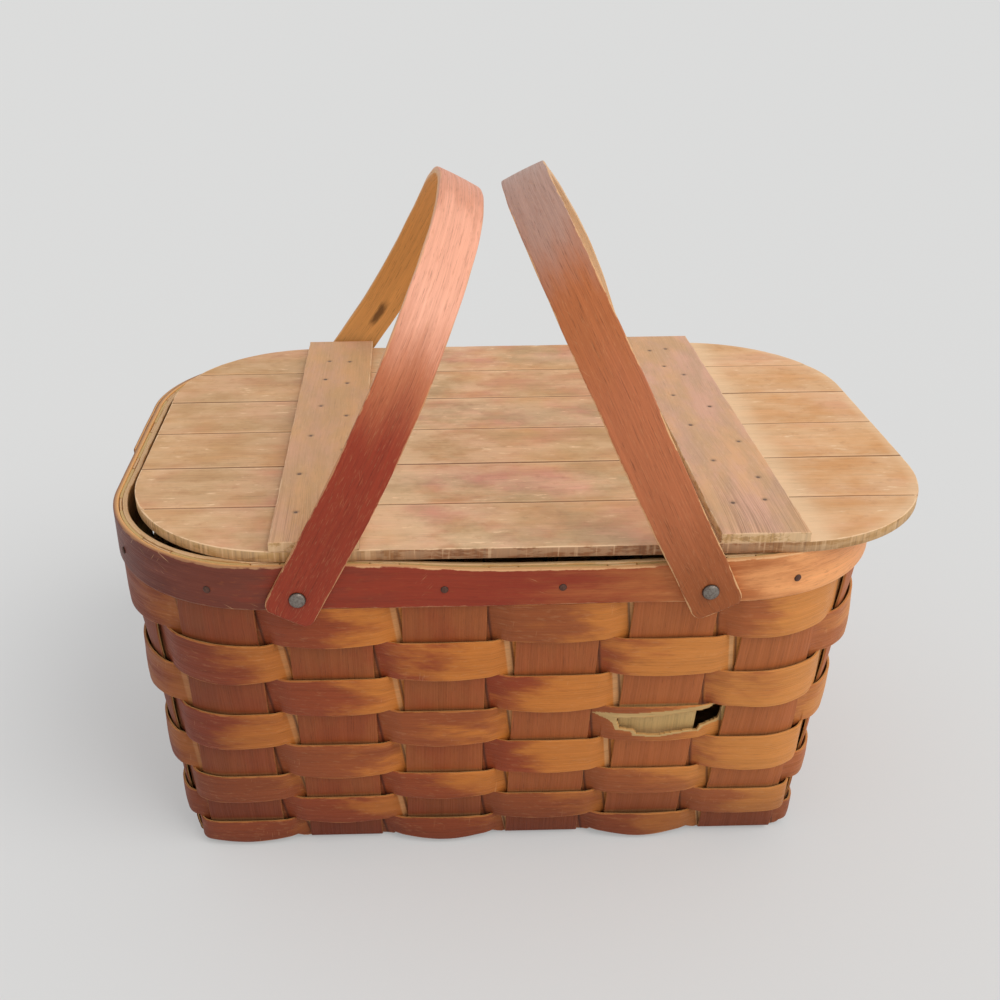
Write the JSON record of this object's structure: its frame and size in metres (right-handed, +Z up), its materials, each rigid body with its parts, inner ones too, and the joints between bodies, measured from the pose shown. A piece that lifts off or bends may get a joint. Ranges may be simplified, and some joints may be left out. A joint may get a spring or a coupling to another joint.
{
  "type": "picnic basket",
  "caption": "Rectangular woven splint basket with a flared rim, a flat plank lid under two battens, and swinging bentwood handles on rivets.",
  "frame": {"origin": "on the floor, under the centre of the whole part's box", "axes": "+X along the basket, +Z up, the front faces -Y"},
  "size_m": [0.47, 0.329, 0.4005],
  "materials": {
    "upright_splint": "stained, worn",
    "weaver_splint": "stained, worn",
    "rim_wood": "stained red-brown, worn edges",
    "inner_wood": "bare",
    "nail_metal": "dark, dull",
    "rivet_metal": "dull grey",
    "handle_wood": "stained, satin",
    "lid_board_wood": "faded, worn",
    "lid_batten_wood": "faded, worn"
  },
  "bodies": {
    "basket_body": {"cross_upright_1": "upright_splint", "cross_upright_2": "upright_splint", "cross_upright_3": "upright_splint", "cross_upright_4": "upright_splint", "cross_upright_5": "upright_splint", "cross_upright_6": "upright_splint", "end_upright_1": "upright_splint", "end_upright_2": "upright_splint", "end_upright_3": "upright_splint", "end_upright_4": "upright_splint", "end_upright_5": "upright_splint", "weaver_row_1": "weaver_splint", "weaver_row_2": "weaver_splint", "weaver_row_3": "weaver_splint", "weaver_row_4": "weaver_splint", "weaver_row_5": "weaver_splint", "weaver_row_6": "weaver_splint", "weaver_row_7": "weaver_splint", "weaver_row_8": "weaver_splint", "outer_rim_band": "rim_wood", "inner_rim_band": "inner_wood", "rim_nail_01": "nail_metal", "rim_nail_02": "nail_metal", "rim_nail_03": "nail_metal", "rim_nail_04": "nail_metal", "rim_nail_05": "nail_metal", "rim_nail_06": "nail_metal", "rim_nail_07": "nail_metal", "rim_nail_08": "nail_metal", "rim_nail_09": "nail_metal", "rim_nail_10": "nail_metal", "rim_nail_11": "nail_metal", "rim_nail_12": "nail_metal", "rim_nail_13": "nail_metal", "rim_nail_14": "nail_metal", "rim_nail_15": "nail_metal", "rim_nail_16": "nail_metal", "rim_nail_17": "nail_metal", "rim_nail_18": "nail_metal", "rivet_front_left": "rivet_metal", "rivet_front_right": "rivet_metal", "rivet_back_left": "rivet_metal", "rivet_back_right": "rivet_metal", "rivet_washer_front_left": "rivet_metal", "rivet_washer_front_right": "rivet_metal", "rivet_washer_back_left": "rivet_metal", "rivet_washer_back_right": "rivet_metal"},
    "lid_panel": {"lid_board_front": "lid_board_wood", "lid_board_middle": "lid_board_wood", "lid_board_back": "lid_board_wood", "lid_batten_left": "lid_batten_wood", "lid_batten_right": "lid_batten_wood"},
    "handle_left": {"left_handle": "handle_wood"},
    "handle_right": {"right_handle": "handle_wood"}
  },
  "joints": [
    {"name": "lid_lift", "type": "slide", "parent": "basket_body", "child": "lid_panel", "axis": [0, 0, 1], "range_m": [0, 0.015]},
    {"name": "left_handle_swing", "type": "hinge", "parent": "basket_body", "child": "handle_left", "pos_m": [-0.1208, 0, 0.2134], "axis": [0, 1, 0], "range_deg": [-159.5, 0.8]},
    {"name": "right_handle_swing", "type": "hinge", "parent": "basket_body", "child": "handle_right", "pos_m": [0.0958, 0, 0.2134], "axis": [0, -1, 0], "range_deg": [-158, 2.3]}
  ]
}
